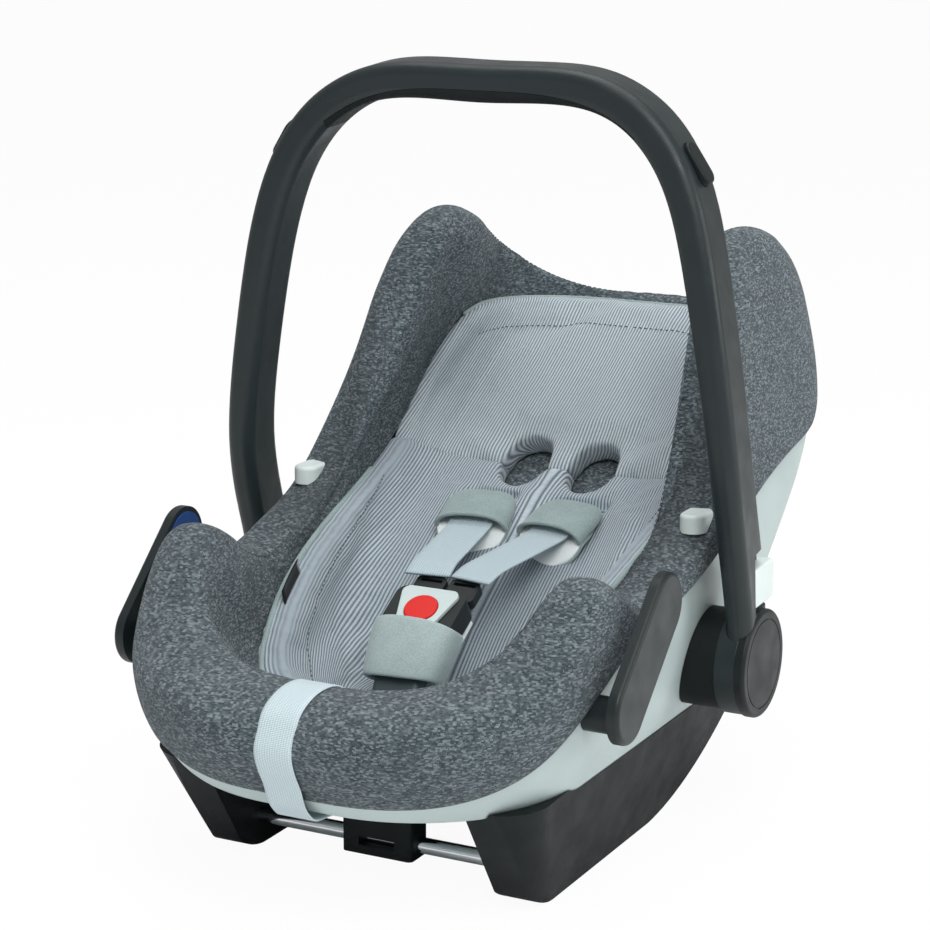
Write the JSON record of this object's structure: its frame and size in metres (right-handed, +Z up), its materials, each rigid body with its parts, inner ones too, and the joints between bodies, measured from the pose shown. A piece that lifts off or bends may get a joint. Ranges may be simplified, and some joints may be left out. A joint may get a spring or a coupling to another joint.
{
  "type": "infant car seat",
  "caption": "Rear-facing infant car seat on rocker skids with a turning carry handle, padded melange cover, light inlay and a three-point harness.",
  "frame": {"origin": "on the floor under the middle of the seat, on the line of the handle axis", "axes": "+Z up, -Y towards the foot end that the baby faces, +X to the occupant's left"},
  "size_m": [0.44, 0.6756, 0.5739],
  "materials": {
    "shell_grey": "satin",
    "base_black": "matte",
    "handle_black": "satin",
    "grip_black": "matte",
    "light_plastic": "satin",
    "bar_steel": "polished",
    "steel": "satin",
    "belt_blue": "satin",
    "foam": "matte",
    "cover_melange": "matte",
    "inlay_light": "matte",
    "webbing": "satin",
    "pad_grey": "matte",
    "felt": "matte",
    "buckle_black": "satin",
    "button_red": "gloss",
    "cable": "satin"
  },
  "bodies": {
    "seat": {"seat_shell": "shell_grey", "foam_liner": "foam", "seat_cover": "cover_melange", "body_inlay": "inlay_light", "head_inlay": "inlay_light", "belly_pan": "base_black", "front_crossbar": "bar_steel", "bar_bracket": "base_black", "pan_screws": "steel", "shoulder_belt_guide": "belt_blue", "harness_yoke": "steel", "buckle_housing": "buckle_black", "buckle_face": "light_plastic", "buckle_stalk": "buckle_black", "crotch_pad": "felt", "crotch_strap": "webbing", "crotch_anchor": "steel", "adjuster_housing": "buckle_black", "adjuster_pin": "steel", "adjuster_strap": "webbing", "pull_strap": "webbing", "skid_left": "base_black", "skid_right": "base_black", "skid_screws_left": "steel", "skid_screws_right": "steel", "hub_boss_left": "handle_black", "hub_boss_right": "handle_black", "pivot_bolt_left": "steel", "pivot_bolt_right": "steel", "lap_belt_hook_left": "handle_black", "lap_belt_hook_right": "handle_black", "lap_belt_marker_left": "belt_blue", "lap_belt_marker_right": "belt_blue", "canopy_clip_left": "light_plastic", "canopy_clip_right": "light_plastic", "shoulder_strap_left": "webbing", "shoulder_strap_right": "webbing", "shoulder_pad_left": "pad_grey", "shoulder_pad_right": "pad_grey", "buckle_tongue_left": "buckle_black", "buckle_tongue_right": "buckle_black"},
    "handle": {"handle_bow": "handle_black", "handle_grip": "grip_black", "hub_cap_left": "handle_black", "hub_cap_right": "handle_black", "lock_spring_left": "steel", "lock_spring_right": "steel", "release_cable_left": "cable", "release_cable_right": "cable"},
    "handle_button_left": {"handle_button_left": "handle_black"},
    "handle_button_right": {"handle_button_right": "handle_black"},
    "adaptor_button_left": {"adaptor_button_left": "light_plastic"},
    "adaptor_button_right": {"adaptor_button_right": "light_plastic"},
    "lock_disc_left": {"lock_disc_left": "steel"},
    "lock_disc_right": {"lock_disc_right": "steel"},
    "buckle_button": {"buckle_button": "button_red"},
    "adjuster_lever": {"adjuster_lever": "buckle_black"}
  },
  "joints": [
    {"name": "handle_pivot", "type": "hinge", "parent": "seat", "child": "handle", "pos_m": [0, 0, 0.136], "axis": [-1, 0, 0], "range_deg": [0, 95]},
    {"name": "handle_button_left_press", "type": "slide", "parent": "handle", "child": "handle_button_left", "axis": [-0.8387, 0.0228, -0.5442], "range_m": [0, 0.004], "stiffness_N_per_m": 900},
    {"name": "lock_disc_left_shift", "type": "slide", "parent": "handle", "child": "lock_disc_left", "axis": [1, 0, 0], "range_m": [0, 0.0036]},
    {"name": "adaptor_button_left_press", "type": "slide", "parent": "handle", "child": "adaptor_button_left", "axis": [0, 0.0419, -0.9991], "range_m": [0, 0.004], "stiffness_N_per_m": 900},
    {"name": "handle_button_right_press", "type": "slide", "parent": "handle", "child": "handle_button_right", "axis": [0.8387, 0.0228, -0.5442], "range_m": [0, 0.004], "stiffness_N_per_m": 900},
    {"name": "lock_disc_right_shift", "type": "slide", "parent": "handle", "child": "lock_disc_right", "axis": [-1, 0, 0], "range_m": [0, 0.0036]},
    {"name": "adaptor_button_right_press", "type": "slide", "parent": "handle", "child": "adaptor_button_right", "axis": [0, 0.0419, -0.9991], "range_m": [0, 0.004], "stiffness_N_per_m": 900},
    {"name": "buckle_button_press", "type": "slide", "parent": "seat", "child": "buckle_button", "axis": [0, 0.5, -0.866], "range_m": [0, 0.004], "stiffness_N_per_m": 900},
    {"name": "adjuster_lever_press", "type": "hinge", "parent": "seat", "child": "adjuster_lever", "pos_m": [0, -0.26546, 0.14105], "axis": [-1, 0, 0], "range_deg": [0, 9], "stiffness_Nm_per_rad": 0.8}
  ],
  "couplings": [
    {"joint": "lock_disc_left_shift", "follows": "handle_button_left_press", "ratio": 0.9},
    {"joint": "lock_disc_right_shift", "follows": "handle_button_right_press", "ratio": 0.9}
  ]
}
